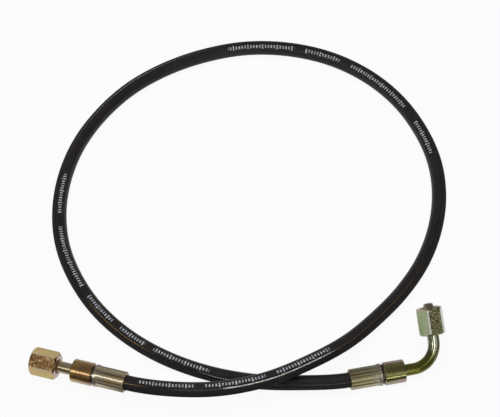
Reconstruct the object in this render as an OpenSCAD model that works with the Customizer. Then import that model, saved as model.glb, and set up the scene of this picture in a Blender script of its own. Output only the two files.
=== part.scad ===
// Hydraulic hose assembly: a small-bore hose that lies in one open loop, with a crimped
// straight swivel fitting on one end and a crimped 90 degree swivel elbow on the other.
// Millimetres, +Z up, the floor at z = 0, the origin on the floor midway between the fittings.

/* [Hose] */
// Outside diameter of the hose
hose_od = 8.8; // [8.4:0.1:9]
// Bore of the hose, across its corners
hose_bore = 3.3; // [3.2:0.1:3.6]
// Wall of the core tube
core_wall = 0.85; // [0.7:0.05:0.9]
// Thickness of the braid
braid_wall = 0.65; // [0.5:0.05:0.7]
// Length of hose held inside a ferrule
hose_depth = 22; // [21:0.5:23]

/* [Ferrule] */
// Length of a ferrule from its mouth to its end face
ferrule_len = 32.5; // [31:0.5:34]
// Diameter of the smooth collar
collar_od = 13.5; // [13.2:0.1:14]
// Length of the smooth collar
collar_len = 12.5; // [11.5:0.5:13]
// Diameter over the ridges left by the crimping dies
crimp_od = 12.2; // [12:0.1:12.6]
// Distance across two opposite crimped flats
crimp_flats = 11.8; // [11.4:0.1:11.9]
// Number of crimped flats
crimp_count = 8; // [6:2:10]

/* [Tube] */
// Outside diameter of the steel tube
tube_od = 6.9; // [6.4:0.1:7]
// Bore of the steel tube
tube_bore = 3.2; // [2.8:0.1:3.4]
// Bend radius of the elbow at the middle of the tube
bend_r = 14; // [12:0.5:14.5]
// Distance from the elbow ferrule's mouth to the elbow's corner
elbow_reach = 52.2; // [50:0.1:56]
// Distance from the elbow's corner to the tip of its nose
elbow_drop = 36; // [35:0.5:38]
// Distance from the straight ferrule's mouth to the tip of its nose
straight_reach = 51.5; // [50:0.1:54]

/* [Swivel nut] */
// Distance across two opposite flats of a nut
nut_af = 14.3; // [14:0.1:14.4]
// Length of a nut
nut_len = 16; // [15:0.1:16.5]
// Minor diameter of the nut's thread
thread_d = 10.4; // [10.2:0.1:10.5]
// Diameter of the hole in the back of a nut
nut_hole = 8.4; // [7.6:0.1:8.8]
// Thickness of the back wall of a nut
nut_wall = 3.5; // [3:0.5:4]
// How far the straight nut stands back from its front stop
straight_nut_back = 0; // [0:0.1:7]
// How far the elbow nut stands back from its front stop
elbow_nut_back = 8.5; // [0:0.1:10]

/* [Nose] */
// Length of the sealing cone
cone_len = 4; // [3.5:0.1:4.5]
// Diameter of the cone's tip
cone_tip = 5.1; // [4.8:0.1:5.4]
// Half angle of the cone
cone_half_angle = 12; // [10:1:15]
// Diameter of the flange that holds the nut on
flange_od = 9.4; // [9.2:0.1:9.6]

/* [Layout] */
// Heading of the straight fitting, from its mouth to its nut
straight_heading = 161.5; // [155:0.5:170]
// Rise of the straight fitting towards its nut
straight_rise = -3; // [-4:0.5:-2]
// Heading of the elbow's ferrule, from its mouth to its tube
elbow_heading = 12; // [5:1:20]
// How far the elbow's leg is turned up from the floor
leg_tilt = 42; // [30:1:50]
// Turn of the straight ferrule's crimped flats on its axis
straight_crimp_turn = 36; // [0:1:45]
// Turn of the elbow ferrule's crimped flats on its axis
elbow_crimp_turn = 15; // [0:1:45]
// Turn of the straight nut on its axis
straight_nut_turn = -5; // [-30:1:30]
// Turn of the elbow nut on its axis
elbow_nut_turn = -17; // [-30:1:30]

/* [Hidden] */
$fn = 96;

// Colours
plated_steel = [0.74, 0.64, 0.33];
plated_olive = [0.60, 0.58, 0.32];
braze_metal = [0.80, 0.62, 0.36];
cover_black = [0.07, 0.07, 0.07];
braid_cream = [0.86, 0.83, 0.74];
core_white = [0.93, 0.92, 0.88];

// Gaps: bonded or brazed faces, running faces, and the play of the nut stack along its axis
bond_gap = 0.05;
run_gap = 0.05;
braze_gap = 0.02;

// Hose layers, as radii to the corners of the swept polygon
hose_r = hose_od / 2;
core_in = hose_bore / 2;
core_out = core_in + core_wall;
braid_in = core_out + bond_gap;
braid_out = braid_in + braid_wall;
cover_in = braid_out + bond_gap;
hose_sides = 12;
hose_rings = 52;

// Ferrule
collar_r = collar_od / 2;
crimp_r = crimp_od / 2;
ferrule_bore = hose_r + bond_gap;
groove_w = 1.5;
groove_depth = 0.9;
groove_r = collar_r - groove_depth;
taper_len = 3;
taper_step = 0.15;
collar_start = ferrule_len - collar_len;
taper_end = collar_start - groove_w;
crimp_len = taper_end - taper_len;
die_runout = 1;
die_len = crimp_len + die_runout;
edge = 0.5;
bite_count = 3;
bite_w = 1.2;
bite_depth = 0.3;
bite_first = 4;
bite_step = 4;

// Insert: a barbed shank in the hose bore, a locking flange and a socket for the tube
shank_r = 1.35;
barb_r = 1.55;
barb_count = 5;
barb_step = 4;
shank_start = 1;
barb_first = 2;
insert_bore = 0.9;
braze_leg = 0.5;
tube_r = tube_od / 2;
socket_r = tube_r + bond_gap;
socket_wall = 0.85;
lock_r = socket_r + socket_wall;
lock_step = 0.8;
lock_flange_r = lock_r + lock_step;
lock_flange_t = 2;
lock_end = hose_depth + lock_flange_t;
socket_base = 2.5;
socket_floor = lock_end + socket_base;

// Tube and nose
tube_in = tube_bore / 2;
flange_r = flange_od / 2;
flange_t = 1.2;
cone_tip_r = cone_tip / 2;
cone_base_r = cone_tip_r + cone_len * tan(cone_half_angle);
nose_len = flange_t + cone_len;
spigot_len = 4;
nose_bore = 1.1;
tip_edge = 0.3;
bend_start = elbow_reach - bend_r;

// Nut and thrust ring
nut_r = nut_af / 2 / cos(30);
nut_face_step = 0.4;
nut_face_r = nut_af / 2 - nut_face_step;
nut_chamfer_angle = 40;
thread_r = thread_d / 2;
relief_depth = 0.15;
relief_r = thread_r + relief_depth;
thread_lead = 0.8;
nut_hole_r = nut_hole / 2;
ring_t = 1;
ring_r = 4.9;
stack = nut_wall + ring_t + 2 * run_gap;
free_thread = nut_len - stack - nose_len;

// Stations along each fitting's axis: the back of the nose flange and of the nut
straight_flange = straight_reach - nose_len;
straight_nut_z = straight_flange - stack - straight_nut_back;
elbow_flange = elbow_drop - nose_len;
elbow_nut_z = elbow_flange - stack - elbow_nut_back;

// Ferrule mouths, and the route of the free hose between them on the floor and over itself
straight_mouth = [-63.8, -20.5, 11.3];
elbow_mouth = [64.4, -15.2, collar_r];
route = [
    straight_mouth, [-37, -26, 12.5], [-10, -26.5, 13.7], [16, -20.5, 14.1], [41, -8, 13.8],
    [63, 8, 12], [81, 28, 9], [97, 50, 6.3], [110, 74, 4.9], [118.5, 100, 4.5],
    [122, 127, 4.4], [120, 154, 4.4], [112, 180, 4.4], [99, 204, 4.4], [81, 224, 4.4],
    [58, 239, 4.4], [32, 247, 4.4], [5, 248, 4.4], [-22, 241.5, 4.4], [-46, 230, 4.4],
    [-68, 213, 4.4], [-85, 192, 4.4], [-98, 167.5, 4.4], [-105.5, 141.5, 4.4], [-108, 114, 4.4],
    [-105, 87, 4.4], [-96, 61, 4.4], [-82.5, 38, 4.4], [-64, 18, 4.4], [-42, 2.5, 4.4],
    [-17, -8.5, 4.4], [10, -14.5, 4.4], [37, -16, 5.1], elbow_mouth
];
last = len(route) - 1;

function heading(turn, rise) = [cos(turn) * cos(rise), sin(turn) * cos(rise), sin(rise)];
function unit(v) = v / norm(v);
straight_way = heading(straight_heading, straight_rise);
elbow_way = heading(elbow_heading, 0);

// Direction of the route at one of its points: along the fittings at its ends
function lean(i) =
    i == 0 ? -straight_way :
    i == last ? elbow_way :
    let (a = route[i] - route[i - 1], b = route[i + 1] - route[i], p = norm(a), q = norm(b))
    (a * q / p + b * p / q) / (p + q);

// Point and direction of the route, where u counts its stretches
function stretch(u) = min(floor(u), last - 1);
function chord(i) = norm(route[i + 1] - route[i]);
function on_route(u) =
    let (i = stretch(u), t = u - i, d = chord(i))
    route[i] * (1 + 2 * t) * pow(1 - t, 2) + lean(i) * d * t * pow(1 - t, 2)
    + route[i + 1] * t * t * (3 - 2 * t) + lean(i + 1) * d * t * t * (t - 1);
function along_route(u) =
    let (i = stretch(u), t = u - i, d = chord(i))
    unit((route[i + 1] - route[i]) * 6 * t * (1 - t)
        + lean(i) * d * (1 - t) * (1 - 3 * t) + lean(i + 1) * d * t * (3 * t - 2));

// Rings of the swept hose: one at each end inside a ferrule, the rest along the route
steps = [for (k = [0 : hose_rings - 1]) k * last / (hose_rings - 1)];
ring_at = concat(
    [straight_mouth + hose_depth * straight_way],
    [for (u = steps) on_route(u)],
    [elbow_mouth + hose_depth * elbow_way]
);
ring_way = concat([-straight_way], [for (u = steps) along_route(u)], [elbow_way]);
ring_total = len(ring_at);

function ring_point(k, r, a) =
    let (across = unit(cross(ring_way[k], [0, 0, 1])), up = cross(across, ring_way[k]))
    ring_at[k] + r * (cos(a) * across + sin(a) * up);
function ring_points(r) = [
    for (k = [0 : ring_total - 1], j = [0 : hose_sides - 1]) ring_point(k, r, j * 360 / hose_sides)
];
function skin_corner(k, j) = k * hose_sides + j % hose_sides;
function bore_corner(k, j) = (ring_total + k) * hose_sides + j % hose_sides;
function quad(a, b, c, d) = [[a, b, c], [a, c, d]];

// Free length of the hose, and its least gap to itself, measured on points of the route
sample_step = 0.2;
near_self = 10;
samples = [for (u = [0 : sample_step : last]) on_route(u)];
function length_to(i) = i == 0 ? 0 : length_to(i - 1) + norm(samples[i] - samples[i - 1]);
self_gap = min([
    for (i = [0 : len(samples) - 1], j = [i + near_self : len(samples) - 1])
        norm(samples[i] - samples[j])
]) - hose_od;
echo(hose_free_length = length_to(len(samples) - 1), hose_self_gap = self_gap);

module turned(profile) {
    rotate_extrude() polygon(profile);
}

// Frames: +Z runs along the straight fitting, the elbow's ferrule or the elbow's leg
module on_straight() {
    translate(straight_mouth) rotate([0, 90 - straight_rise, straight_heading]) children();
}

module on_elbow() {
    translate(elbow_mouth) rotate([0, 90, elbow_heading]) rotate([0, 0, leg_tilt]) children();
}

module on_leg() {
    on_elbow() translate([0, 0, elbow_reach]) rotate([-90, 0, 0]) children();
}

// One layer of the hose, swept along the whole route
module hose_layer(inner, outer) {
    ends = [0, ring_total - 1];
    sides = [for (j = [0 : hose_sides - 1]) j];
    skin = [
        for (k = [0 : ring_total - 2], j = sides)
            each quad(skin_corner(k, j), skin_corner(k, j + 1),
                skin_corner(k + 1, j + 1), skin_corner(k + 1, j))
    ];
    bore = [
        for (k = [0 : ring_total - 2], j = sides)
            each quad(bore_corner(k, j + 1), bore_corner(k, j),
                bore_corner(k + 1, j), bore_corner(k + 1, j + 1))
    ];
    first_face = [
        for (j = sides)
            each quad(skin_corner(ends[0], j + 1), skin_corner(ends[0], j),
                bore_corner(ends[0], j), bore_corner(ends[0], j + 1))
    ];
    last_face = [
        for (j = sides)
            each quad(skin_corner(ends[1], j), skin_corner(ends[1], j + 1),
                bore_corner(ends[1], j + 1), bore_corner(ends[1], j))
    ];
    polyhedron(
        points = concat(ring_points(outer), ring_points(inner)),
        faces = concat(skin, bore, first_face, last_face)
    );
}

// Crimped shell: a fluted grip on the hose, a tapered step, a groove and a smooth collar
module ferrule(crimp_turn) {
    pocket_end = lock_end + run_gap;
    bites = [
        for (k = [bite_count - 1 : -1 : 0]) let (z = bite_first + k * bite_step)
            each [
                [ferrule_bore, z + bite_w], [ferrule_bore + bite_depth, z + bite_w],
                [ferrule_bore + bite_depth, z], [ferrule_bore, z]
            ]
    ];
    profile = concat(
        [
            [ferrule_bore + edge, 0], [crimp_r - edge, 0], [crimp_r, edge], [crimp_r, crimp_len],
            [collar_r - taper_step, taper_end], [groove_r, taper_end],
            [groove_r, collar_start], [collar_r - edge, collar_start],
            [collar_r, collar_start + edge], [collar_r, ferrule_len - edge],
            [collar_r - edge, ferrule_len], [lock_r + bond_gap, ferrule_len],
            [lock_r + bond_gap, pocket_end], [lock_flange_r + bond_gap, pocket_end],
            [lock_flange_r + bond_gap, hose_depth], [ferrule_bore, hose_depth]
        ],
        bites,
        [[ferrule_bore, edge]]
    );
    difference() {
        turned(profile);
        for (k = [0 : crimp_count - 1]) rotate(crimp_turn + k * 360 / crimp_count) {
            translate([crimp_flats / 2, -collar_r, -edge]) cube([collar_r, collar_od, die_len + edge]);
        }
    }
}

// Hose insert: barbs in the hose bore, a flange locked in the ferrule, a socket for the tube
module insert() {
    barbs = [
        for (k = [0 : barb_count - 1]) let (z = barb_first + k * barb_step)
            each [[shank_r, z], [barb_r, z + barb_step / 2], [shank_r, z + barb_step / 2]]
    ];
    profile = concat(
        [
            [insert_bore, socket_floor], [insert_bore, shank_start],
            [shank_r - tip_edge, shank_start]
        ],
        barbs,
        [
            [shank_r, hose_depth], [lock_flange_r, hose_depth], [lock_flange_r, lock_end],
            [lock_r, lock_end], [lock_r, ferrule_len], [socket_r + braze_leg, ferrule_len],
            [socket_r, ferrule_len - braze_leg], [socket_r, socket_floor]
        ]
    );
    turned(profile);
}

// Fillet of braze metal round the tube, with its flat face at z = 0 and its toe below
module braze_fillet() {
    r = tube_r + braze_gap;
    turned([[r, -braze_gap], [r + braze_leg - 3 * braze_gap, -braze_gap], [r, -braze_leg + 2 * braze_gap]]);
}

// Sealing nose: a spigot in the tube, the flange that holds the nut on, and a cone
module nose() {
    turned([
        [nose_bore, -spigot_len], [tube_in - bond_gap, -spigot_len], [tube_in - bond_gap, 0],
        [flange_r, 0], [flange_r, flange_t], [cone_base_r, flange_t],
        [cone_tip_r + tip_edge * tan(cone_half_angle), nose_len - tip_edge],
        [cone_tip_r - tip_edge, nose_len], [nose_bore + tip_edge, nose_len],
        [nose_bore, nose_len - tip_edge]
    ]);
}

// Thrust ring that slides on the tube between the nut's back wall and the nose flange
module thrust_ring() {
    bore_r = tube_r + run_gap;
    turned([
        [bore_r, 0], [ring_r, 0], [ring_r, ring_t], [bore_r + braze_leg, ring_t],
        [bore_r, ring_t - braze_leg]
    ]);
}

// Hexagon swivel nut, chamfered at both ends, with its back face at z = 0
module swivel_nut() {
    crown_r = nut_r + edge;
    crown_h = (crown_r - nut_face_r) * tan(nut_chamfer_angle);
    mouth_r = thread_r + thread_lead;
    difference() {
        intersection() {
            linear_extrude(nut_len) circle(r = nut_r, $fn = 6);
            turned([
                [0, 0], [nut_face_r, 0], [crown_r, crown_h], [crown_r, nut_len - crown_h],
                [nut_face_r, nut_len], [0, nut_len]
            ]);
        }
        turned([
            [0, -edge], [nut_hole_r + 2 * edge, -edge], [nut_hole_r, edge], [nut_hole_r, nut_wall],
            [relief_r, nut_wall], [relief_r, nut_len - free_thread],
            [thread_r, nut_len - free_thread], [thread_r, nut_len - thread_lead],
            [mouth_r, nut_len], [mouth_r, nut_len + edge], [0, nut_len + edge]
        ]);
    }
}

// The elbow's tube as a solid rod: a straight run, a quarter bend and the leg
module bent_rod(r, from, to) {
    translate([0, 0, from]) cylinder(r = r, h = bend_start - from);
    translate([0, bend_r, bend_start]) rotate([90, 0, -90]) {
        rotate_extrude(angle = 90) translate([bend_r, 0]) circle(r = r);
    }
    translate([0, bend_r, elbow_reach]) rotate([-90, 0, 0]) cylinder(r = r, h = to - bend_r);
}

module hose_core_tube() {
    color(core_white) hose_layer(core_in, core_out);
}

module hose_braid() {
    color(braid_cream) hose_layer(braid_in, braid_out);
}

module hose_cover() {
    color(cover_black) hose_layer(cover_in, hose_r);
}

module straight_ferrule() {
    color(plated_steel) on_straight() ferrule(straight_crimp_turn);
}

module straight_insert() {
    color(plated_steel) on_straight() insert();
}

module straight_insert_braze() {
    color(braze_metal) on_straight() translate([0, 0, ferrule_len]) braze_fillet();
}

module straight_tube() {
    tube_len = straight_flange - socket_floor;
    color(plated_steel) on_straight() translate([0, 0, socket_floor]) difference() {
        cylinder(r = tube_r, h = tube_len);
        translate([0, 0, -edge]) cylinder(r = tube_in, h = tube_len + 2 * edge);
    }
}

module straight_nose_braze() {
    color(braze_metal) on_straight() translate([0, 0, straight_flange]) braze_fillet();
}

module straight_nose() {
    color(plated_steel) on_straight() translate([0, 0, straight_flange]) nose();
}

module straight_thrust_ring() {
    color(plated_steel) on_straight() translate([0, 0, straight_nut_z + nut_wall + run_gap]) thrust_ring();
}

module straight_nut() {
    color(plated_steel) on_straight() translate([0, 0, straight_nut_z]) {
        rotate(straight_nut_turn) swivel_nut();
    }
}

module elbow_ferrule() {
    color(plated_olive) on_elbow() ferrule(elbow_crimp_turn);
}

module elbow_insert() {
    color(plated_olive) on_elbow() insert();
}

module elbow_insert_braze() {
    color(braze_metal) on_elbow() translate([0, 0, ferrule_len]) braze_fillet();
}

module elbow_tube() {
    color(plated_olive) on_elbow() difference() {
        bent_rod(tube_r, socket_floor, elbow_flange);
        bent_rod(tube_in, socket_floor - edge, elbow_flange + edge);
    }
}

module elbow_nose_braze() {
    color(braze_metal) on_leg() translate([0, 0, elbow_flange]) braze_fillet();
}

module elbow_nose() {
    color(plated_olive) on_leg() translate([0, 0, elbow_flange]) nose();
}

module elbow_thrust_ring() {
    color(plated_olive) on_leg() translate([0, 0, elbow_nut_z + nut_wall + run_gap]) thrust_ring();
}

module elbow_nut() {
    color(plated_olive) on_leg() translate([0, 0, elbow_nut_z]) rotate(elbow_nut_turn) swivel_nut();
}

hose_core_tube();
hose_braid();
hose_cover();
straight_ferrule();
straight_insert();
straight_insert_braze();
straight_tube();
straight_nose_braze();
straight_nose();
straight_thrust_ring();
straight_nut();
elbow_ferrule();
elbow_insert();
elbow_insert_braze();
elbow_tube();
elbow_nose_braze();
elbow_nose();
elbow_thrust_ring();
elbow_nut();
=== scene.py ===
import math

import bpy
import numpy as np
from mathutils import Euler, Matrix, Vector


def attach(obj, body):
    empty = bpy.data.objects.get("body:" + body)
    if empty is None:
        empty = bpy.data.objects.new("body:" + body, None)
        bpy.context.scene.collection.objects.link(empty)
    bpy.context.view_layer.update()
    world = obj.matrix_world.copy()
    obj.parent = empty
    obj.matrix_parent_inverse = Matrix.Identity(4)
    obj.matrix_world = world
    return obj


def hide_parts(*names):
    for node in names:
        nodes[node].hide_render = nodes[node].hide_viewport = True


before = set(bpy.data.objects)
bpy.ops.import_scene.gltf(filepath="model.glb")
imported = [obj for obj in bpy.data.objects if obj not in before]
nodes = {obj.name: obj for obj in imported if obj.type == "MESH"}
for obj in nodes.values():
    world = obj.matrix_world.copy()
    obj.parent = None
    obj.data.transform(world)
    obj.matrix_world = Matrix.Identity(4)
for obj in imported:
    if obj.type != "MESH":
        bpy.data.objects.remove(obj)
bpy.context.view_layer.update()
MM = 0.001

# Sizes shared with the solids, in millimetres and degrees
HOSE_R = 4.4
HOSE_BORE_R = 1.65
HOSE_DEPTH = 22
CRIMP_COUNT = 8
STRAIGHT_HEADING = 161.5
STRAIGHT_RISE = -3
ELBOW_HEADING = 12
LEG_TILT = 42
ELBOW_REACH = 52.2
NUT_LEN = 16
NUT_ACROSS_FLATS = 14.3
NUT_CORNER_R = NUT_ACROSS_FLATS / math.sqrt(3)
STRAIGHT_NUT_Z = 41.7
ELBOW_NUT_Z = 17.7
THREAD_R = 5.2
THREAD_LEAD = 0.8
THREAD_LEN = 5.4

STRAIGHT_MOUTH = (-63.8, -20.5, 11.3)
ELBOW_MOUTH = (64.4, -15.2, 6.75)
ROUTE = [
    STRAIGHT_MOUTH, (-37, -26, 12.5), (-10, -26.5, 13.7), (16, -20.5, 14.1), (41, -8, 13.8),
    (63, 8, 12), (81, 28, 9), (97, 50, 6.3), (110, 74, 4.9), (118.5, 100, 4.5),
    (122, 127, 4.4), (120, 154, 4.4), (112, 180, 4.4), (99, 204, 4.4), (81, 224, 4.4),
    (58, 239, 4.4), (32, 247, 4.4), (5, 248, 4.4), (-22, 241.5, 4.4), (-46, 230, 4.4),
    (-68, 213, 4.4), (-85, 192, 4.4), (-98, 167.5, 4.4), (-105.5, 141.5, 4.4), (-108, 114, 4.4),
    (-105, 87, 4.4), (-96, 61, 4.4), (-82.5, 38, 4.4), (-64, 18, 4.4), (-42, 2.5, 4.4),
    (-17, -8.5, 4.4), (10, -14.5, 4.4), (37, -16, 5.1), ELBOW_MOUTH,
]


def turned(x, y, z):
    return Euler([math.radians(a) for a in (x, y, z)]).to_matrix().to_4x4()


# Frames of the two fittings and of the elbow's leg, with +Z along each axis
ON_STRAIGHT = Matrix.Translation(STRAIGHT_MOUTH) @ turned(0, 90 - STRAIGHT_RISE, STRAIGHT_HEADING)
ON_ELBOW = Matrix.Translation(ELBOW_MOUTH) @ turned(0, 90, ELBOW_HEADING) @ turned(0, 0, LEG_TILT)
ON_LEG = ON_ELBOW @ Matrix.Translation((0, 0, ELBOW_REACH)) @ turned(-90, 0, 0)


def new_object(name, data):
    made = bpy.data.objects.new(name, data)
    bpy.context.scene.collection.objects.link(made)
    return made


# Camera, with its place in metres and its lens in millimetres
CAMERA_ELEVATION = 50
CAMERA_TARGET = Vector((0.0072, 0.1192, 0))
CAMERA_DISTANCE = 1.773
CAMERA_LENS = 210.4
CAMERA_SENSOR = 36
CAMERA_REACH = 20
camera = new_object("camera", bpy.data.cameras.new("camera"))
camera.data.sensor_fit = "HORIZONTAL"
camera.data.sensor_width = CAMERA_SENSOR
camera.data.lens = CAMERA_LENS
camera.data.clip_end = CAMERA_REACH
camera.rotation_euler = (math.radians(90 - CAMERA_ELEVATION), 0, 0)
camera.location = CAMERA_TARGET + camera.rotation_euler.to_matrix() @ Vector((0, 0, CAMERA_DISTANCE))
bpy.context.scene.camera = camera
bpy.context.scene.view_settings.view_transform = "Standard"


# Shader helpers
def wire(tree, value, socket):
    """Links a socket, or sets a plain value on it."""
    if isinstance(value, bpy.types.NodeSocket):
        tree.links.new(value, socket)
    else:
        socket.default_value = value


def add(tree, kind, props=None, **inputs):
    made = tree.nodes.new("ShaderNode" + kind)
    for key, value in (props or {}).items():
        setattr(made, key, value)
    for key, value in inputs.items():
        wire(tree, value, made.inputs[key.replace("_", " ")])
    return made


def calc(tree, operation, *values):
    made = tree.nodes.new("ShaderNodeMath")
    made.operation = operation
    for socket, value in zip(made.inputs, values):
        wire(tree, value, socket)
    return made.outputs[0]


def vector_calc(tree, operation, *values):
    made = tree.nodes.new("ShaderNodeVectorMath")
    made.operation = operation
    for socket, value in zip(made.inputs, values):
        wire(tree, value, socket)
    return made


def product(tree, *values):
    result = values[0]
    for value in values[1:]:
        result = calc(tree, "MULTIPLY", result, value)
    return result


def largest(tree, *values):
    result = values[0]
    for value in values[1:]:
        result = calc(tree, "MAXIMUM", result, value)
    return result


def grow(tree, share, low, high):
    """A value that goes from low to high as a share goes from 0 to 1."""
    return calc(tree, "MULTIPLY_ADD", share, high - low, low)


def swung(tree, share, amount, value):
    """A value with a noise of 0 to 1 added to it, up and down by half of an amount."""
    return calc(tree, "MULTIPLY_ADD", calc(tree, "SUBTRACT", share, 0.5), amount, value)


def span(tree, value, source, target):
    """Smooth step from one range to another, level outside it."""
    made = add(
        tree, "MapRange", {"interpolation_type": "SMOOTHSTEP"},
        Value=value, From_Min=source[0], From_Max=source[1], To_Min=target[0], To_Max=target[1],
    )
    return made.outputs["Result"]


def in_first_share(tree, value, step, share):
    """1 in the first share of every step, and 0 in the rest of it."""
    return calc(tree, "LESS_THAN", calc(tree, "FRACT", calc(tree, "DIVIDE", value, step)), share)


def in_runs(tree, value, runs):
    """1 where a value lies in any of the runs, and 0 elsewhere."""
    found = [
        product(tree, calc(tree, "GREATER_THAN", value, start), calc(tree, "LESS_THAN", value, end))
        for start, end in runs
    ]
    return largest(tree, *found)


def ramp(tree, value, stops):
    made = add(tree, "ValToRGB", Fac=value)
    elements = made.color_ramp.elements
    while len(elements) < len(stops):
        elements.new(1)
    for element, (at, colour) in zip(elements, stops):
        element.position = at
        element.color = (*colour, 1)
    return made.outputs["Color"]


def mixed(tree, factor, first, second):
    made = tree.nodes.new("ShaderNodeMix")
    made.data_type = "RGBA"
    wire(tree, factor, made.inputs[0])
    for socket, value in ((made.inputs[6], first), (made.inputs[7], second)):
        wire(tree, value if isinstance(value, bpy.types.NodeSocket) else (*value, 1), socket)
    return made.outputs[2]


def noise(tree, vector, scale=1.0, detail=3.0, rough=0.5, stretch=None):
    if stretch:
        vector = vector_calc(tree, "MULTIPLY", vector, stretch).outputs[0]
    made = add(tree, "TexNoise", Vector=vector, Scale=scale, Detail=detail, Roughness=rough)
    return made.outputs["Fac"]


def bumped(tree, height, depth, strength, under=None):
    """Bump of a depth in millimetres, on top of the one under it."""
    made = add(tree, "Bump", Height=height, Distance=depth * MM, Strength=strength)
    if under is not None:
        wire(tree, under, made.inputs["Normal"])
    return made.outputs["Normal"]


def ray_share(tree, *names):
    """1 for the kinds of ray that are named, and 0 for the rest."""
    path = add(tree, "LightPath")
    return largest(tree, *[path.outputs[name] for name in names])


def mixed_shader(tree, factor, first, second):
    made = add(tree, "MixShader", Fac=factor)
    tree.links.new(first.outputs[0], made.inputs[1])
    tree.links.new(second.outputs[0], made.inputs[2])
    return made


def new_material(name):
    made = bpy.data.materials.new(name)
    made.use_nodes = True
    tree = made.node_tree
    tree.nodes.clear()
    surface = add(tree, "BsdfPrincipled")
    out = add(tree, "OutputMaterial")
    tree.links.new(surface.outputs[0], out.inputs["Surface"])
    return made, tree, surface


# Floor, in metres
FLOOR_HALF = 3.0
FLOOR_Z = -0.0001
PAPER = [(0.3, (0.80, 0.80, 0.80)), (0.7, (0.83, 0.83, 0.83))]
PAPER_ROUGHNESS = 0.9
PAPER_GLOSS = 0.1
MIRROR_EDGE_FRONT = (-0.030, -0.023)
MIRROR_EDGE_RIGHT = (0.155, 0.175)
MIRROR_DARK = (0.12, 0.11, 0.10)
MIRROR_GLOW = 0.68
MIRROR_GLOW_SHARE = 0.8
CAMERA_GLOW_SHARE = 0.93


def floor_material():
    """Pale paper, white to the camera. In a mirror it ends in front of the object and to its right."""
    made, tree, surface = new_material("floor")
    place = add(tree, "TexCoord").outputs["Object"]
    paper = ramp(tree, noise(tree, place, scale=400), PAPER)
    in_mirror = ray_share(tree, "Is Glossy Ray", "Is Transmission Ray")
    parts = add(tree, "SeparateXYZ", Vector=place)
    beyond = largest(
        tree,
        span(tree, parts.outputs["Y"], MIRROR_EDGE_FRONT, (1, 0)),
        span(tree, parts.outputs["X"], MIRROR_EDGE_RIGHT, (0, 1)),
    )
    dark = product(tree, in_mirror, beyond)
    wire(tree, mixed(tree, dark, paper, MIRROR_DARK), surface.inputs["Base Color"])
    surface.inputs["Roughness"].default_value = PAPER_ROUGHNESS
    surface.inputs["Specular IOR Level"].default_value = PAPER_GLOSS
    glow = add(tree, "Emission", Color=(1, 1, 1, 1), Strength=grow(tree, in_mirror, 1, MIRROR_GLOW))
    seen = product(tree, ray_share(tree, "Is Camera Ray"), CAMERA_GLOW_SHARE)
    mirrored = product(tree, calc(tree, "SUBTRACT", in_mirror, dark), MIRROR_GLOW_SHARE)
    both = mixed_shader(tree, largest(tree, seen, mirrored), surface, glow)
    tree.links.new(both.outputs[0], tree.nodes["Material Output"].inputs["Surface"])
    return made


corners = [(x * FLOOR_HALF, y * FLOOR_HALF, FLOOR_Z) for x, y in ((-1, -1), (1, -1), (1, 1), (-1, 1))]
floor_mesh = bpy.data.meshes.new("floor")
floor_mesh.from_pydata(corners, [], [(0, 1, 2, 3)])
floor_mesh.materials.append(floor_material())
floor = new_object("floor", floor_mesh)


# World: white to the camera, dim as a light, and a room with one pale wall in a mirror
DIM_LIGHT = (0.115, 0.105, 0.10)
ROOM = (0.25, 0.235, 0.225)
ROOM_DARK_SIDE = (0.11, 0.08, 0.055)
PALE_WALL = (1, 0.95, 0.93)
WHITE = (1, 1, 1)
# Stretches of the direction's X, Y and Z over which the room changes
WALL_TOP = (0.02, 0.24)
WALL_BEHIND = (0, 0.35)
WALL_RIGHT = (-0.06, 0.1)
WALL_FAR_LEFT = (-0.8, -0.45)
DARK_SIDE_FROM = (0.5, 0.85)
# Share of the pale wall's colour, all over it, on its right and at its far left
WALL_SHARE = 0.95
WALL_RIGHT_SHARE = 0.65
WALL_FAR_LEFT_SHARE = 0.4


def background(tree, colour):
    return add(tree, "Background", Color=colour, Strength=1)


def make_world():
    world = bpy.data.worlds.new("studio")
    bpy.context.scene.world = world
    world.use_nodes = True
    tree = world.node_tree
    tree.nodes.clear()
    toward = add(tree, "SeparateXYZ", Vector=add(tree, "TexCoord").outputs["Generated"]).outputs
    pale_wall = product(
        tree,
        span(tree, toward["Z"], WALL_TOP, (1, 0)),
        span(tree, toward["Y"], WALL_BEHIND, (0, WALL_SHARE)),
        span(tree, toward["X"], WALL_RIGHT, (1, WALL_RIGHT_SHARE)),
        span(tree, toward["X"], WALL_FAR_LEFT, (WALL_FAR_LEFT_SHARE, 1)),
    )
    room = mixed(tree, span(tree, toward["X"], DARK_SIDE_FROM, (0, 1)), ROOM, ROOM_DARK_SIDE)
    room = mixed(tree, pale_wall, room, PALE_WALL)
    dim = background(tree, (*DIM_LIGHT, 1))
    around = mixed_shader(tree, ray_share(tree, "Is Glossy Ray"), dim, background(tree, room))
    seen_white = ray_share(tree, "Is Camera Ray", "Is Transmission Ray")
    backdrop = mixed_shader(tree, seen_white, around, background(tree, (*WHITE, 1)))
    out = add(tree, "OutputWorld")
    tree.links.new(backdrop.outputs[0], out.inputs["Surface"])


make_world()


# Lamps, in metres
NEAR_STRAIGHT = (-0.09, -0.01, 0.012)
NEAR_ELBOW = (0.12, 0.01, 0.02)
NEAR_ELBOW_COLLAR = (0.09, -0.01, 0.01)


def softbox(name, at, aim, size, level, glossy=True):
    """Soft lamp of an even brightness, where a level of 1 shows as white in a mirror."""
    width, height = size
    lamp = bpy.data.lights.new(name, "AREA")
    lamp.shape = "RECTANGLE"
    lamp.size = width
    lamp.size_y = height
    lamp.energy = level * math.pi * width * height
    made = new_object(name, lamp)
    made.location = at
    made.rotation_euler = (Vector(aim) - Vector(at)).to_track_quat("-Z", "Y").to_euler()
    made.visible_glossy = glossy
    made.visible_camera = False


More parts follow.
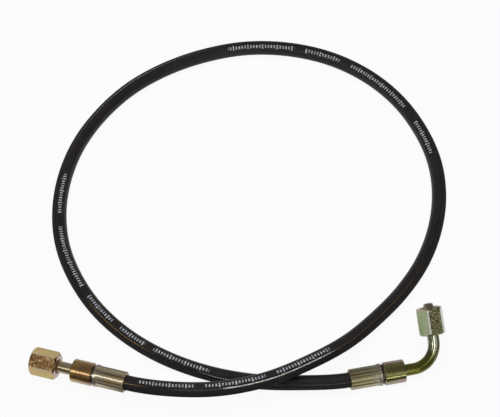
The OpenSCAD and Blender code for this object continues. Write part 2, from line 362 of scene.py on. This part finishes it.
softbox("overhead", at=(0, 0.1, 1.6), aim=(0, 0.1, 0), size=(1.6, 1.6), level=2.3, glossy=False)
softbox("left_wall", at=(-1.6, -0.3, 0.35), aim=(0, 0, 0.02), size=(1.2, 0.7), level=0.5)
softbox("left_front", at=(-0.74, -1.01, 1.08), aim=NEAR_STRAIGHT, size=(0.45, 0.46), level=4.6)
softbox("near_camera", at=(0.35, -1.1, 1.08), aim=NEAR_ELBOW, size=(0.34, 0.34), level=4)
softbox("right_front", at=(1.31, -0.73, 0.8), aim=NEAR_ELBOW, size=(1.0, 0.5), level=0.65)
softbox("low_right", at=(0.6, -1.42, 0.12), aim=NEAR_ELBOW_COLLAR, size=(0.5, 0.1), level=6.5)
softbox("mid_right", at=(0.57, -1.25, 0.7), aim=(0.1, 0, 0.01), size=(0.25, 0.2), level=1.8)


# Marks on the hose, in millimetres: ticks in runs, and a lay line to one side of them
TICK_STEP = 1.9
TICK_SHARE = 0.5
TICK_HALF = 0.95
TICK_HALF_TALL = 1.4
TALL_EVERY = 5
TICK_RUNS = [
    (30, 62), (68, 103), (110, 145), (325, 353), (366, 416), (424, 448), (455, 498),
    (652, 684), (694, 742), (750, 774), (780, 800), (806, 842),
]
TICK_COLOUR = (0.50, 0.54, 0.58)
LAY_LINE_AT = 2.35
LAY_LINE_WAVER = 0.5
LAY_LINE_HALF = 0.2
LAY_LINE_HALF_WIDE = 0.32
WIDE_WHITE_STRETCH = [(78, 145)]
DOT_STEP = 1.5
DOT_SHARE = 0.55
DOTTED = [(48, 79), (505, 650), (840, 945)]
GOLD_LINE = (0.30, 0.185, 0.06)
# Print with a painted highlight, where the line shows white
WHITE_LINE_HIGHLIGHT = (0.72, 0.70, 0.67)
GREY_LINE = (0.16, 0.155, 0.15)
DIM_LINE = (0.10, 0.068, 0.03)
RUBBED_OFF = (0.005, 0.005, 0.005)
# Colour of the lay line from one end of the hose to the other
LAY_LINE = [
    (0, GOLD_LINE), (28, GOLD_LINE), (36, RUBBED_OFF), (48, RUBBED_OFF), (52, GREY_LINE),
    (74, GREY_LINE), (80, WHITE_LINE_HIGHLIGHT), (138, WHITE_LINE_HIGHLIGHT), (150, DIM_LINE), (215, DIM_LINE),
    (240, RUBBED_OFF), (500, RUBBED_OFF), (520, GREY_LINE), (560, WHITE_LINE_HIGHLIGHT), (620, GREY_LINE),
    (650, RUBBED_OFF), (750, RUBBED_OFF), (762, GOLD_LINE), (796, GOLD_LINE), (810, RUBBED_OFF),
    (836, RUBBED_OFF), (846, WHITE_LINE_HIGHLIGHT), (872, WHITE_LINE_HIGHLIGHT), (885, RUBBED_OFF), (905, GREY_LINE),
    (945, GREY_LINE),
]

# Cover of the hose
COVER_BLACK = [(0.3, (0.0105, 0.0094, 0.0097)), (0.7, (0.0165, 0.0146, 0.0145))]
COVER_ROUGHNESS = (0.32, 0.52)
INK_ROUGHENS = 0.2
DUST_ROUGHENS = 0.42
COVER_GLOSS = 0.33
BRAID_STRANDS = 8
BRAID_WAVE = 1.05
COVER_GRAIN = (9, 9, 40)
TICKS_WEAR = (0.32, 0.66)
TICK_LEAST = 0.45
LINE_WEARS = (0.35, 0.6)
LINE_LEAST = 0.5
FACES_OUT = (-0.1, 0.9)
# Depth in millimetres and strength of each bump
BRAID_BUMP = (0.03, 0.12)
SKIN_BUMP = (0.03, 0.2)
INK_BUMP = (0.04, 0.5)


def tick_marks(tree, along, arc, place):
    """Ticks along the hose, every fifth one taller, in runs as a marking wheel prints them."""
    stroke = in_first_share(tree, along, TICK_STEP, TICK_SHARE)
    is_tall = in_first_share(tree, along, TALL_EVERY * TICK_STEP, 1 / TALL_EVERY)
    half = grow(tree, is_tall, TICK_HALF, TICK_HALF_TALL)
    in_row = calc(tree, "LESS_THAN", calc(tree, "ABSOLUTE", arc), half)
    worn = span(tree, noise(tree, place, scale=700), TICKS_WEAR, (1, TICK_LEAST))
    return product(tree, stroke, in_row, in_runs(tree, along, TICK_RUNS), worn)


def lay_line(tree, along, arc, place):
    """Thin printed line that wavers a little: golden or white, and dotted or rubbed off, in stretches. Its
    white stretches are print with a painted highlight, and one of them is drawn wider.
    """
    centre = calc(tree, "MULTIPLY_ADD", noise(tree, place, scale=60, detail=1), LAY_LINE_WAVER, LAY_LINE_AT)
    off_line = calc(tree, "ABSOLUTE", calc(tree, "ADD", arc, centre))
    half = grow(tree, in_runs(tree, along, WIDE_WHITE_STRETCH), LAY_LINE_HALF, LAY_LINE_HALF_WIDE)
    dot = in_first_share(tree, along, DOT_STEP, DOT_SHARE)
    unbroken = calc(tree, "SUBTRACT", 1, in_runs(tree, along, DOTTED))
    worn = span(tree, noise(tree, place, scale=900, detail=2), LINE_WEARS, (1, LINE_LEAST))
    line = product(tree, calc(tree, "LESS_THAN", off_line, half), largest(tree, dot, unbroken), worn)
    whole = LAY_LINE[-1][0]
    stops = [(at / whole, colour) for at, colour in LAY_LINE]
    return line, ramp(tree, calc(tree, "DIVIDE", along, whole), stops)


def cover_normal(tree, along, turn, ticks, place):
    """Fine skin of the cover, the braid that shows faintly through it, and the ink of the ticks."""
    laid = []
    for strands in (BRAID_STRANDS, -BRAID_STRANDS):
        phase = calc(tree, "MULTIPLY", turn, strands)
        laid.append(calc(tree, "SINE", calc(tree, "MULTIPLY_ADD", along, BRAID_WAVE, phase)))
    normal = bumped(tree, product(tree, *laid), *BRAID_BUMP)
    normal = bumped(tree, noise(tree, place, scale=1500, detail=2), *SKIN_BUMP, normal)
    return bumped(tree, ticks, *INK_BUMP, normal)


def hose_material():
    """Black cover with a thin lay line and a row of plain graduation ticks, duller on the loop's outside."""
    made, tree, surface = new_material("hose_cover")
    way = add(tree, "Attribute", {"attribute_name": "hose_way"}).outputs["Vector"]
    outside = add(tree, "Attribute", {"attribute_name": "hose_outside"}).outputs["Fac"]
    place = add(tree, "TexCoord").outputs["Object"]
    parts = add(tree, "SeparateXYZ", Vector=way)
    turn = calc(tree, "ARCTAN2", parts.outputs["Y"], parts.outputs["X"])
    arc = calc(tree, "MULTIPLY", turn, HOSE_R)
    along = calc(tree, "DIVIDE", parts.outputs["Z"], MM)

    ticks = tick_marks(tree, along, arc, place)
    line, line_colour = lay_line(tree, along, arc, place)
    colour = ramp(tree, noise(tree, place, scale=70), COVER_BLACK)
    colour = mixed(tree, line, colour, line_colour)
    colour = mixed(tree, ticks, colour, TICK_COLOUR)
    wire(tree, colour, surface.inputs["Base Color"])

    streaks = noise(tree, way, rough=0.6, stretch=COVER_GRAIN)
    dull = grow(tree, streaks, *COVER_ROUGHNESS)
    dull = calc(tree, "MULTIPLY_ADD", largest(tree, ticks, line), INK_ROUGHENS, dull)
    dull = calc(tree, "ADD", dull, span(tree, outside, FACES_OUT, (0, DUST_ROUGHENS)))
    wire(tree, dull, surface.inputs["Roughness"])
    surface.inputs["Specular IOR Level"].default_value = COVER_GLOSS
    wire(tree, cover_normal(tree, along, turn, ticks, place), surface.inputs["Normal"])
    return made


# Hose, with lengths in millimetres
HOSE_SIDES = 32
HOSE_STEP = 2.5
HOSE_END_STEPS = 8
BORE_RING_EVERY = 4
SIDE_ANGLES = np.arange(HOSE_SIDES) * math.tau / HOSE_SIDES
# Where the marked side of the hose faces along its length, in degrees from its right-hand side
MARK_AT = [
    (0, 82), (0.16, 86), (0.3, 108), (0.36, 110), (0.42, 117), (0.52, 121), (0.62, 112),
    (0.69, 100), (0.75, 93), (0.82, 84), (0.87, 80), (0.9, 72), (1, 66),
]


def heading(turn, rise):
    turn, rise = math.radians(turn), math.radians(rise)
    return np.array([
        math.cos(turn) * math.cos(rise), math.sin(turn) * math.cos(rise), math.sin(rise)
    ])


def lean(points, i, first, final):
    """Direction of the route at one of its points, with the two end directions given."""
    if i == 0:
        return first
    if i == len(points) - 1:
        return final
    back, ahead = points[i] - points[i - 1], points[i + 1] - points[i]
    back_len, ahead_len = np.linalg.norm(back), np.linalg.norm(ahead)
    return (back * ahead_len / back_len + ahead * back_len / ahead_len) / (back_len + ahead_len)


def hose_line():
    """Smooth run of points through the route, from the hose's end in one ferrule to its end in the other."""
    points = [np.array(p, float) for p in ROUTE]
    into_straight = heading(STRAIGHT_HEADING, STRAIGHT_RISE)
    into_elbow = heading(ELBOW_HEADING, 0)
    leans = [lean(points, i, -into_straight, into_elbow) for i in range(len(points))]
    held = [HOSE_DEPTH * k / HOSE_END_STEPS for k in range(HOSE_END_STEPS + 1)]
    line = [points[0] + depth * into_straight for depth in reversed(held[1:])]
    for i in range(len(points) - 1):
        gap = np.linalg.norm(points[i + 1] - points[i])
        count = max(2, round(gap / HOSE_STEP))
        for k in range(count):
            done = k / count
            left = 1 - done
            line.append(
                points[i] * (1 + 2 * done) * left ** 2 + leans[i] * gap * done * left ** 2
                + points[i + 1] * done ** 2 * (1 + 2 * left) - leans[i + 1] * gap * done ** 2 * left
            )
    line += [points[-1] + depth * into_elbow for depth in held]
    return np.array(line)


line = hose_line()
ways = np.gradient(line, axis=0)
ways /= np.linalg.norm(ways, axis=1)[:, None]
so_far = np.concatenate([[0], np.cumsum(np.linalg.norm(np.diff(line, axis=0), axis=1))])
hose_length = so_far[-1]
across = np.cross(ways, [0, 0, 1])
across /= np.linalg.norm(across, axis=1)[:, None]
up = np.cross(across, ways)
mark = np.radians(np.interp(so_far / hose_length, *zip(*MARK_AT)))


def ring(k, radius):
    return line[k] + radius * (
        np.cos(SIDE_ANGLES)[:, None] * across[k] + np.sin(SIDE_ANGLES)[:, None] * up[k]
    )


def tube_faces(first, count, inward=False):
    """Faces between rings that follow each other in the list of points."""
    faces = []
    for k in range(count - 1):
        this, following = first + k * HOSE_SIDES, first + (k + 1) * HOSE_SIDES
        for side in range(HOSE_SIDES):
            beside = (side + 1) % HOSE_SIDES
            quad = (this + side, this + beside, following + beside, following + side)
            faces.append(quad[::-1] if inward else quad)
    return faces


def end_faces(skin, bore, far_end):
    """Faces from a ring of the outside to a ring of the bore."""
    faces = []
    for side in range(HOSE_SIDES):
        beside = (side + 1) % HOSE_SIDES
        quad = (skin + beside, skin + side, bore + side, bore + beside)
        faces.append(quad[::-1] if far_end else quad)
    return faces


def write_hose_marks(mesh, ring_of):
    """Stores where each point lies round and along the hose, and how far it faces out of the loop."""
    places = [
        np.stack([
            np.cos(SIDE_ANGLES - mark[k]), np.sin(SIDE_ANGLES - mark[k]), np.full(HOSE_SIDES, so_far[k] * MM)
        ], 1)
        for k in ring_of
    ]
    attribute = mesh.attributes.new("hose_way", "FLOAT_VECTOR", "POINT")
    attribute.data.foreach_set("vector", np.concatenate(places).astype(np.float32).ravel())
    attribute = mesh.attributes.new("hose_outside", "FLOAT", "POINT")
    attribute.data.foreach_set("value", np.tile(np.cos(SIDE_ANGLES), len(ring_of)).astype(np.float32))


def hose_mesh():
    outer = list(range(len(line)))
    inner = sorted(set(outer[::BORE_RING_EVERY] + [outer[-1]]))
    verts = np.concatenate([ring(k, HOSE_R) for k in outer] + [ring(k, HOSE_BORE_R) for k in inner])
    bore = len(outer) * HOSE_SIDES
    far_skin = bore - HOSE_SIDES
    far_bore = len(verts) - HOSE_SIDES
    faces = tube_faces(0, len(outer)) + tube_faces(bore, len(inner), inward=True)
    faces += end_faces(0, bore, False) + end_faces(far_skin, far_bore, True)
    mesh = bpy.data.meshes.new("hose")
    mesh.from_pydata((verts * MM).tolist(), [], faces)
    mesh.polygons.foreach_set("use_smooth", [True] * len(faces))
    write_hose_marks(mesh, outer + inner)
    mesh.update()
    return mesh


hose = new_object("hose", hose_mesh())
hose.data.materials.append(hose_material())
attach(hose, "hose_and_fittings")
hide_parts("hose_cover", "hose_braid", "hose_core_tube")


# Plating colours, as stops along a tint, or along a noise where they are stains that also hold painted dark
# reflection
BROWN_GOLD = [
    (0.25, (0.26, 0.12, 0.02)), (0.42, (0.41, 0.23, 0.035)), (0.52, (0.55, 0.355, 0.09)),
    (0.64, (0.60, 0.36, 0.20)), (0.78, (0.48, 0.37, 0.11)),
]
YELLOW_GOLD = [
    (0.25, (0.46, 0.23, 0.06)), (0.42, (0.62, 0.40, 0.07)), (0.54, (0.64, 0.49, 0.08)),
    (0.66, (0.68, 0.42, 0.20)), (0.80, (0.54, 0.46, 0.10)),
]
OLIVE_GOLD = [
    (0.25, (0.14, 0.14, 0.03)), (0.42, (0.21, 0.21, 0.045)), (0.54, (0.29, 0.28, 0.08)),
    (0.66, (0.46, 0.36, 0.27)), (0.80, (0.50, 0.38, 0.35)),
]
GREEN_GOLD = [
    (0.25, (0.30, 0.37, 0.17)), (0.42, (0.39, 0.53, 0.25)), (0.54, (0.45, 0.59, 0.31)),
    (0.66, (0.52, 0.54, 0.36)), (0.80, (0.37, 0.51, 0.32)),
]
PALE_GOLD = [
    (0.25, (0.34, 0.26, 0.12)), (0.45, (0.47, 0.38, 0.20)),
    (0.58, (0.57, 0.48, 0.28)), (0.75, (0.51, 0.49, 0.38)),
]
# Its first stop is painted dark reflection, which the leg shows at its reflection band
PALE_OLIVE = [
    (0.42, (0.13, 0.14, 0.075)), (0.51, (0.46, 0.50, 0.37)),
    (0.64, (0.47, 0.50, 0.37)), (0.78, (0.43, 0.43, 0.30)),
]
# Olive plating darkened as painted dark reflection, on the elbow's run and bend
DARK_OLIVE_REFLECTION = [
    (0.25, (0.13, 0.13, 0.02)), (0.45, (0.18, 0.185, 0.028)),
    (0.62, (0.25, 0.255, 0.042)), (0.80, (0.31, 0.31, 0.06)),
]
OLIVE_GRIP = [
    (0.25, (0.24, 0.21, 0.08)), (0.45, (0.36, 0.33, 0.15)),
    (0.58, (0.46, 0.42, 0.23)), (0.75, (0.44, 0.42, 0.29)),
]
NOSE_OLIVE = [
    (0.25, (0.15, 0.14, 0.08)), (0.45, (0.24, 0.23, 0.14)),
    (0.60, (0.36, 0.34, 0.23)), (0.75, (0.50, 0.48, 0.40)),
]
# A stain that also stands for painted dark reflection on one flat of a nut
STAIN_AND_DARK_REFLECTION_BROWN = [
    (0.34, (0.05, 0.02, 0.01)), (0.45, (0.18, 0.09, 0.025)),
    (0.55, (0.29, 0.165, 0.06)), (0.66, (0.80, 0.58, 0.28)),
]
STAIN_AND_DARK_REFLECTION_OLIVE = [
    (0.34, (0.02, 0.02, 0.006)), (0.45, (0.085, 0.085, 0.025)),
    (0.55, (0.19, 0.185, 0.065)), (0.66, (0.74, 0.70, 0.42)),
]
SCRATCHED = (0.72, 0.66, 0.52)
DARK_DRAG = (0.12, 0.10, 0.045)
PALE_DRAG = (0.84, 0.74, 0.50)
SILVERY = (0.56, 0.54, 0.50)
RUBBED_RIDGE_HIGHLIGHT = (0.88, 0.76, 0.54)
GROOVE_SHADE = (0.05, 0.034, 0.024)
PINK_END_SHEEN = (0.64, 0.41, 0.34)
WORN_CORNER_HIGHLIGHT = (0.86, 0.85, 0.80)

# Stretches over which the plating changes, in millimetres along or from a fitting's axis
GRIP_FADE = (18.4, 18.8)
SILVERY_FROM = (10, 17)
GROOVE_FROM = (18.2, 18.6)
GROOVE_TO = (19.9, 20.2)
GROOVE_WALL_R = (5.9, 6.5)
BEND_FADE = (2, 12.5)
NUT_END_BAND = 1.6
NUT_OUTSIDE_R = (6.7, 6.9)
NUT_CORNER_BAND = (NUT_CORNER_R - 0.33, NUT_CORNER_R - 0.13)
# Cosine of the angle from a flat's middle, from just past the flat's edge to just inside it
ON_ONE_FLAT = (0.855, 0.88)

# Angle round each axis where the painted dark reflection lies, there and opposite, in degrees; between them
# the colour is painted paler
STRAIGHT_REFLECTION_BAND = 140
ELBOW_REFLECTION_BAND = 178
LEG_REFLECTION_BAND = 135

# Grain of the streaks, drawn along the axis or even in all directions, and of the marks
DRAWN = (900, 900, 30)
EVEN = (200, 200, 200)
SCRATCH_GRAIN = (900, 2600, 160)
DRAG_GRAIN = (760, 760, 10)

# Strength of each kind of wear
STREAKS_TINT = 0.25
STREAKS_ROUGHEN = 0.08
SCUFFS_ROUGHEN = 0.05
SCRATCHES_SHOW = (0.62, 0.74)
SCRATCH_SHARE = 0.4
STREAK_DEPTH = 0.03
STREAK_BUMP = 0.01
SCUFF_DEPTH = 0.04
SCUFF_BUMP = 0.04
MARKS_PER_FLAT = 2.4
MARKS_WAVER = 4
DARK_MARKS = (0.1, 0.9)
PALE_MARKS = (-1, -0.2)
SILVERY_PER_PALE = 0.7
RIDGE_CORE = 0.4
GRIP_STREAK_BUMP = 0.11
GRIP_COAT = 0.3
PINK_SHARE = 0.9
STAIN_ROUGHENS = 0.08
STAIN_COAT = 0.4
CORNERS_WEAR = (0.3, 0.5)
CORNER_LEAST = 0.4
CORNER_ROUGHENS = 0.1
CORNER_METAL = 0.3
COAT_IOR = 1.8
COAT_ROUGHNESS = 0.15


class Plating:
    """Yellow-passivated zinc on steel: clouded colour with streaks, scuffs and scratches under a clear coat.

    It is laid out in a fitting's own frame. The colour shifts round the axis by the reflection swing, as
    painted reflection: it is deepest, a painted dark reflection, at the reflection band's angle and opposite
    it, and paler between."""

    def __init__(
        self, name, on, stops, reflection_band, seed, roughness, bump=SCUFF_BUMP, reflection_swing=0.15, grain=DRAWN, coat=1.0
    ):
        self.material, self.tree, self.surface = new_material(name)
        tree = self.tree
        self.lay_out(on, seed)
        cloud = noise(tree, self.local, scale=120, detail=4, rough=0.6, stretch=(1, 1, 0.4))
        self.streaks = noise(tree, self.local, rough=0.65, stretch=grain)
        self.scuffs = noise(tree, self.local, scale=700, detail=5, rough=0.7, stretch=(1, 1, 1.3))
        # Painted reflection: the tint is lowered at the band's angle and opposite it, and raised between
        from_reflection_band = calc(tree, "SUBTRACT", self.turn, math.radians(reflection_band))
        wave = calc(tree, "COSINE", calc(tree, "MULTIPLY", from_reflection_band, 2))
        tint = swung(tree, self.streaks, STREAKS_TINT, cloud)
        self.tint = calc(tree, "MULTIPLY_ADD", wave, -reflection_swing, tint)
        self.colour = ramp(tree, self.tint, stops)
        scratches = noise(tree, self.local, detail=4, rough=0.8, stretch=SCRATCH_GRAIN)
        self.cover(span(tree, scratches, SCRATCHES_SHOW, (0, SCRATCH_SHARE)), SCRATCHED)
        half = STREAKS_ROUGHEN / 2
        dull = grow(tree, self.streaks, roughness - half, roughness + half)
        self.dull = swung(tree, self.scuffs, SCUFFS_ROUGHEN, dull)
        self.coat = coat
        self.metal = 1
        self.streak_bump = STREAK_BUMP
        self.bump = bump

    def lay_out(self, on, seed):
        """Millimetres along and from the axis, the angle round it, and a place for the noises."""
        tree = self.tree
        place = add(tree, "TexCoord").outputs["Object"]
        mapping = add(tree, "Mapping", {"vector_type": "TEXTURE"}, Vector=place)
        mapping.inputs["Location"].default_value = on.to_translation() * MM
        mapping.inputs["Rotation"].default_value = on.to_euler()
        own = mapping.outputs["Vector"]
        x, y, z = add(tree, "SeparateXYZ", Vector=own).outputs
        off_axis = add(tree, "CombineXYZ", X=x, Y=y).outputs[0]
        self.along = calc(tree, "DIVIDE", z, MM)
        self.radius = calc(tree, "DIVIDE", vector_calc(tree, "LENGTH", off_axis).outputs["Value"], MM)
        self.turn = calc(tree, "ARCTAN2", y, x)
        self.local = vector_calc(tree, "ADD", own, (seed, -seed, 0.7 * seed)).outputs[0]

    def cover(self, share, colour):
        """Lays a colour over what is there."""
        self.colour = mixed(self.tree, share, self.colour, colour)

    def recolour_start(self, fade, stops):
        """Other colours at the start of the axis, as far as the fade."""
        self.at_start = span(self.tree, self.along, fade, (1, 0))
        self.cover(self.at_start, ramp(self.tree, self.tint, stops))

    def crimp(self, flat_at, ridges, ridge_reach, pale, dark, dulled):
        """Grip of a ferrule: drag marks on the flats, ridges between them rubbed pale with a painted
        highlight, and painted shade in the groove.
        """
        tree, at_start = self.tree, self.at_start
        flats = calc(tree, "SUBTRACT", self.turn, math.radians(flat_at))
        flats = calc(tree, "FRACT", calc(tree, "DIVIDE", flats, math.tau / CRIMP_COUNT))
        from_ridge = calc(tree, "ABSOLUTE", calc(tree, "SUBTRACT", flats, 0.5))
        from_middle = calc(tree, "SUBTRACT", 0.5, from_ridge)
        wave = calc(tree, "COSINE", calc(tree, "MULTIPLY", from_middle, math.tau * MARKS_PER_FLAT))
        lines = noise(tree, self.local, detail=1, stretch=DRAG_GRAIN)
        marks = swung(tree, lines, MARKS_WAVER, wave)
        self.cover(product(tree, at_start, span(tree, marks, DARK_MARKS, (0, dark))), DARK_DRAG)
        self.cover(product(tree, at_start, span(tree, marks, PALE_MARKS, (pale, 0))), PALE_DRAG)
        silvery = span(tree, self.along, SILVERY_FROM, (0, SILVERY_PER_PALE * pale))
        self.cover(product(tree, at_start, silvery), SILVERY)
        # Ridges rubbed pale, with a painted highlight laid along them
        ridge = span(tree, from_ridge, (RIDGE_CORE * ridge_reach, ridge_reach), (ridges, 0))
        self.cover(product(tree, at_start, ridge), RUBBED_RIDGE_HIGHLIGHT)
        # Painted shade in the groove between the grip and the collar
        painted_groove_shade = product(
            tree,
            span(tree, self.along, GROOVE_FROM, (0, 1)),
            span(tree, self.along, GROOVE_TO, (1, 0)),
            span(tree, self.radius, GROOVE_WALL_R, (1, 0)),
        )
        self.cover(painted_groove_shade, GROOVE_SHADE)
        self.dull = calc(tree, "MULTIPLY_ADD", at_start, dulled, self.dull)
        self.coat = grow(tree, at_start, self.coat, GRIP_COAT)
        self.streak_bump = grow(tree, at_start, STREAK_BUMP, GRIP_STREAK_BUMP)

    def wear_nut(self, back, dark_flat_at, stain_and_reflection, corner_wear_and_highlight):
        """Ends with a painted pinkish sheen, corners worn pale with a painted highlight, and one flat darker
        and speckled, a stain with painted dark reflection.
        """
        tree = self.tree
        front = back + NUT_LEN
        # Painted sheen: pink on the nut's chamfered ends
        at_end = largest(
            tree,
            span(tree, self.along, (back, back + NUT_END_BAND), (PINK_SHARE, 0)),
            span(tree, self.along, (front - NUT_END_BAND, front), (0, PINK_SHARE)),
        )
        self.cover(at_end, PINK_END_SHEEN)
        # One flat darker and speckled: a stain, with painted dark reflection
        facing = calc(tree, "COSINE", calc(tree, "SUBTRACT", self.turn, math.radians(dark_flat_at)))
        dark_flat = product(
            tree, span(tree, facing, ON_ONE_FLAT, (0, 1)), span(tree, self.radius, NUT_OUTSIDE_R, (0, 1))
        )
        self.cover(dark_flat, ramp(tree, self.scuffs, stain_and_reflection))
        # Corners worn pale, and painted as a highlight along the edges
        corner = product(
            tree,
            span(tree, self.radius, NUT_CORNER_BAND, (0, corner_wear_and_highlight)),
            span(tree, noise(tree, self.local, scale=300), CORNERS_WEAR, (CORNER_LEAST, 1)),
        )
        self.cover(corner, WORN_CORNER_HIGHLIGHT)
        self.dull = calc(tree, "MULTIPLY_ADD", corner, CORNER_ROUGHENS, self.dull)
        self.dull = calc(tree, "MULTIPLY_ADD", dark_flat, STAIN_ROUGHENS, self.dull)
        self.coat = grow(tree, dark_flat, self.coat, STAIN_COAT)
        self.metal = grow(tree, corner, self.metal, CORNER_METAL)

    def finish(self):
        """Wires everything to the surface."""
        tree, inputs = self.tree, self.surface.inputs
        wire(tree, self.colour, inputs["Base Color"])
        wire(tree, self.metal, inputs["Metallic"])
        wire(tree, self.dull, inputs["Roughness"])
        wire(tree, self.coat, inputs["Coat Weight"])
        inputs["Coat IOR"].default_value = COAT_IOR
        inputs["Coat Roughness"].default_value = COAT_ROUGHNESS
        normal = bumped(tree, self.streaks, STREAK_DEPTH, self.streak_bump)
        normal = bumped(tree, self.scuffs, SCUFF_DEPTH, self.bump, normal)
        wire(tree, normal, inputs["Normal"])
        return self.material


# Finishes of the solids
def straight_ferrule_finish():
    plating = Plating(
        "straight_ferrule", ON_STRAIGHT, BROWN_GOLD, STRAIGHT_REFLECTION_BAND, seed=0.1, roughness=0.22, bump=0.01
    )
    plating.recolour_start(GRIP_FADE, PALE_GOLD)
    plating.crimp(flat_at=32, ridges=0.9, ridge_reach=0.3, pale=0.55, dark=0.65, dulled=0.06)
    return plating.finish()


def straight_nut_finish():
    plating = Plating(
        "straight_nut", ON_STRAIGHT, YELLOW_GOLD, STRAIGHT_REFLECTION_BAND, seed=0.2, roughness=0.24, bump=0.29, reflection_swing=0
    )
    plating.wear_nut(STRAIGHT_NUT_Z, dark_flat_at=145, stain_and_reflection=STAIN_AND_DARK_REFLECTION_BROWN, corner_wear_and_highlight=0.3)
    return plating.finish()


def straight_tube_finish():
    plating = Plating(
        "straight_tube", ON_STRAIGHT, PALE_GOLD, STRAIGHT_REFLECTION_BAND, seed=0.3, roughness=0.2, bump=0.01
    )
    return plating.finish()


def elbow_ferrule_finish():
    plating = Plating(
        "elbow_ferrule", ON_ELBOW, OLIVE_GOLD, ELBOW_REFLECTION_BAND, seed=0.4, roughness=0.19, bump=0.01, reflection_swing=0.24,
        coat=0.6,
    )
    plating.recolour_start(GRIP_FADE, OLIVE_GRIP)
    plating.crimp(flat_at=15, ridges=0.1, ridge_reach=0.22, pale=0.6, dark=0.6, dulled=0.22)
    return plating.finish()


def elbow_nut_finish():
    plating = Plating(
        "elbow_nut", ON_LEG, GREEN_GOLD, LEG_REFLECTION_BAND, seed=0.5, roughness=0.24, bump=0.29, reflection_swing=0
    )
    plating.wear_nut(ELBOW_NUT_Z, dark_flat_at=193, stain_and_reflection=STAIN_AND_DARK_REFLECTION_OLIVE, corner_wear_and_highlight=1)
    return plating.finish()


def elbow_tube_finish():
    plating = Plating(
        "elbow_tube", ON_LEG, PALE_OLIVE, LEG_REFLECTION_BAND, seed=0.6, roughness=0.16, bump=0.005, reflection_swing=0.24,
        grain=EVEN, coat=0.15,
    )
    # Painted dark reflection on the run and the bend
    plating.recolour_start(BEND_FADE, DARK_OLIVE_REFLECTION)
    return plating.finish()


finishes = {
    "straight_ferrule": straight_ferrule_finish(),
    "straight_nut": straight_nut_finish(),
    "straight_tube": straight_tube_finish(),
    "elbow_ferrule": elbow_ferrule_finish(),
    "elbow_nut": elbow_nut_finish(),
    "elbow_tube": elbow_tube_finish(),
}
nose_finish = Plating("nose", ON_LEG, NOSE_OLIVE, LEG_REFLECTION_BAND, seed=0.8, roughness=0.25).finish()
braze_finish = Plating("braze", ON_LEG, PALE_GOLD, LEG_REFLECTION_BAND, seed=0.9, roughness=0.4).finish()

# Rounded edges of the nuts and ferrules, in millimetres and degrees
ROUNDINGS = {"nut": 0.4, "ferrule": 0.2}
ROUNDING_STEPS = 3
SHARPER_THAN = 32
WELD_WITHIN = 0.001
SHADING_WEIGHT = 100


def round_edges(piece, width):
    piece.modifiers.new("weld", "WELD").merge_threshold = WELD_WITHIN * MM
    rounding = piece.modifiers.new("rounding", "BEVEL")
    rounding.width = width * MM
    rounding.segments = ROUNDING_STEPS
    rounding.limit_method = "ANGLE"
    rounding.angle_limit = math.radians(SHARPER_THAN)
    piece.modifiers.new("shading", "WEIGHTED_NORMAL").weight = SHADING_WEIGHT


for name, piece in nodes.items():
    finish = finishes.get(name, braze_finish if "braze" in name else nose_finish)
    for material_slot in piece.material_slots:
        material_slot.material = finish
    kind = name.split("_")[-1]
    if kind in ROUNDINGS:
        round_edges(piece, ROUNDINGS[kind])


# Thread ridges in the nuts, in millimetres
THREAD_PITCH = 1.5
THREAD_DEPTH = 0.25
THREAD_STEPS = 48
THREAD_SUNK = 0.05
RUN_OUT_TURNS = 0.25
RIDGE_FOOT_HALF = 0.55
RIDGE_TOP_HALF = 0.12


def thread_mesh(name, on, start):
    """Ridge that winds back from the start along the bore of a nut, and runs out at both ends."""
    turns = THREAD_LEN / THREAD_PITCH
    count = round(turns * THREAD_STEPS)
    foot = THREAD_R + THREAD_SUNK
    rows = []
    for k in range(count + 1):
        share = k / count
        angle = math.tau * turns * share
        to_nearest_end = turns * min(share, 1 - share)
        top = THREAD_R - THREAD_DEPTH * min(1, to_nearest_end / RUN_OUT_TURNS)
        at = start - THREAD_LEN * share
        profile = (
            (foot, RIDGE_FOOT_HALF), (top, RIDGE_TOP_HALF), (top, -RIDGE_TOP_HALF), (foot, -RIDGE_FOOT_HALF)
        )
        for radius, rise in profile:
            rows.append(on @ Vector((radius * math.cos(angle), radius * math.sin(angle), at + rise)))
    sides = len(profile)
    faces = []
    for k in range(count):
        this, following = sides * k, sides * (k + 1)
        for side in range(sides):
            beside = (side + 1) % sides
            faces.append((this + side, this + beside, following + beside, following + side))
    faces.append(tuple(reversed(range(sides))))
    faces.append(tuple(sides * count + side for side in range(sides)))
    mesh = bpy.data.meshes.new(name)
    mesh.from_pydata([tuple(v * MM) for v in rows], [], faces)
    mesh.update()
    return mesh


for nut, on, back in (("straight_nut", ON_STRAIGHT, STRAIGHT_NUT_Z), ("elbow_nut", ON_LEG, ELBOW_NUT_Z)):
    name = nut + "_thread"
    thread = new_object(name, thread_mesh(name, on, back + NUT_LEN - THREAD_LEAD))
    thread.data.materials.append(finishes[nut])
    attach(thread, nut)
